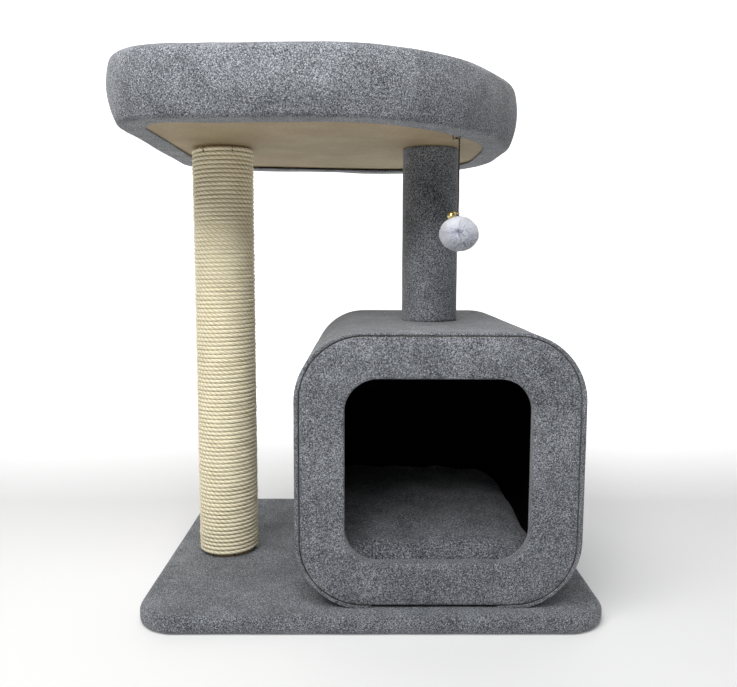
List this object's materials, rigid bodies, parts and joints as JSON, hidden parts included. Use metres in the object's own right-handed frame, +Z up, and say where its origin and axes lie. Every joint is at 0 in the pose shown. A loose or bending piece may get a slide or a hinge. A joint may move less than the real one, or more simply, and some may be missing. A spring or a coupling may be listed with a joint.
{
  "type": "cat tree",
  "caption": "Cat tree: felt base with a rounded box condo and a rope scratching post, which carry a bolstered perch with a hanging pompom toy.",
  "frame": {"origin": "middle of the base's underside, on the floor", "axes": "+Z up, -Y towards the front, where the condo's mouth is, +X towards the condo's side"},
  "size_m": [0.572, 0.4955, 0.645],
  "materials": {
    "grey_felt": "matte",
    "cushion_felt": "matte",
    "board": "matte",
    "shell_board": "matte",
    "underlay": "matte",
    "black_lining": "matte",
    "tube_cardboard": "matte",
    "sisal": "matte",
    "filling": "matte",
    "zinc_steel": "satin",
    "staple_steel": "satin",
    "black_elastic": "matte",
    "pompom_yarn": "matte",
    "bell_brass": "polished"
  },
  "bodies": {
    "root": {"base_board": "board", "base_cover": "grey_felt", "base_underlay": "underlay", "base_cover_staples": "staple_steel", "sisal_post_tube": "tube_cardboard", "sisal_post_lower_plug": "board", "sisal_post_upper_plug": "board", "sisal_rope": "sisal", "sisal_rope_staples": "staple_steel", "felt_post_tube": "tube_cardboard", "felt_post_lower_plug": "board", "felt_post_upper_plug": "board", "felt_post_cover": "grey_felt", "post_bolts": "zinc_steel", "post_washers": "zinc_steel", "post_threaded_inserts": "zinc_steel", "plug_nails": "zinc_steel", "condo_shell": "shell_board", "condo_shell_cover": "grey_felt", "condo_lining": "black_lining", "condo_back_lining": "black_lining", "condo_front_panel": "board", "condo_front_cover": "grey_felt", "condo_back_panel": "board", "condo_back_cover": "grey_felt", "condo_floor_board": "board", "condo_roof_board": "board", "condo_panel_screws": "zinc_steel", "condo_bolts": "zinc_steel", "condo_washers": "zinc_steel", "condo_tee_nuts": "zinc_steel", "perch_board": "board", "perch_rim_foam": "filling", "perch_cover": "grey_felt", "perch_pad_foam": "filling", "perch_pad_cover": "grey_felt", "perch_cover_staples": "staple_steel", "toy_staple": "staple_steel", "toy_cord_tail": "black_elastic"},
    "cushion": {"condo_cushion_cover": "cushion_felt", "condo_cushion_filling": "filling"},
    "toy_knot": {"toy_top_knot": "black_elastic"},
    "toy": {"toy_cord": "black_elastic", "toy_lower_knot": "black_elastic", "toy_pompom": "pompom_yarn"},
    "bell": {"bell_shell": "bell_brass", "bell_ring": "bell_brass"},
    "pea": {"bell_pea": "zinc_steel"}
  },
  "joints": [
    {"name": "toy_side_swing", "type": "hinge", "parent": "root", "child": "toy_knot", "pos_m": [0.1035, -0.113, 0.56285], "axis": [0, 1, 0], "range_deg": [-60, 60]},
    {"name": "toy_fore_aft_swing", "type": "hinge", "parent": "toy_knot", "child": "toy", "pos_m": [0.1035, -0.113, 0.56285], "axis": [1, 0, 0], "range_deg": [-60, 17]},
    {"name": "bell_lift", "type": "hinge", "parent": "toy", "child": "bell", "pos_m": [0.1028, -0.113, 0.48075], "axis": [0, 1, 0], "range_deg": [0, 28]},
    {"name": "pea_rattle", "type": "slide", "parent": "bell", "child": "pea", "axis": [0, 0, 1], "range_m": [0, 0.0045]},
    {"name": "cushion_lift", "type": "slide", "parent": "root", "child": "cushion", "axis": [0, 0, 1], "range_m": [0, 0.08]}
  ]
}
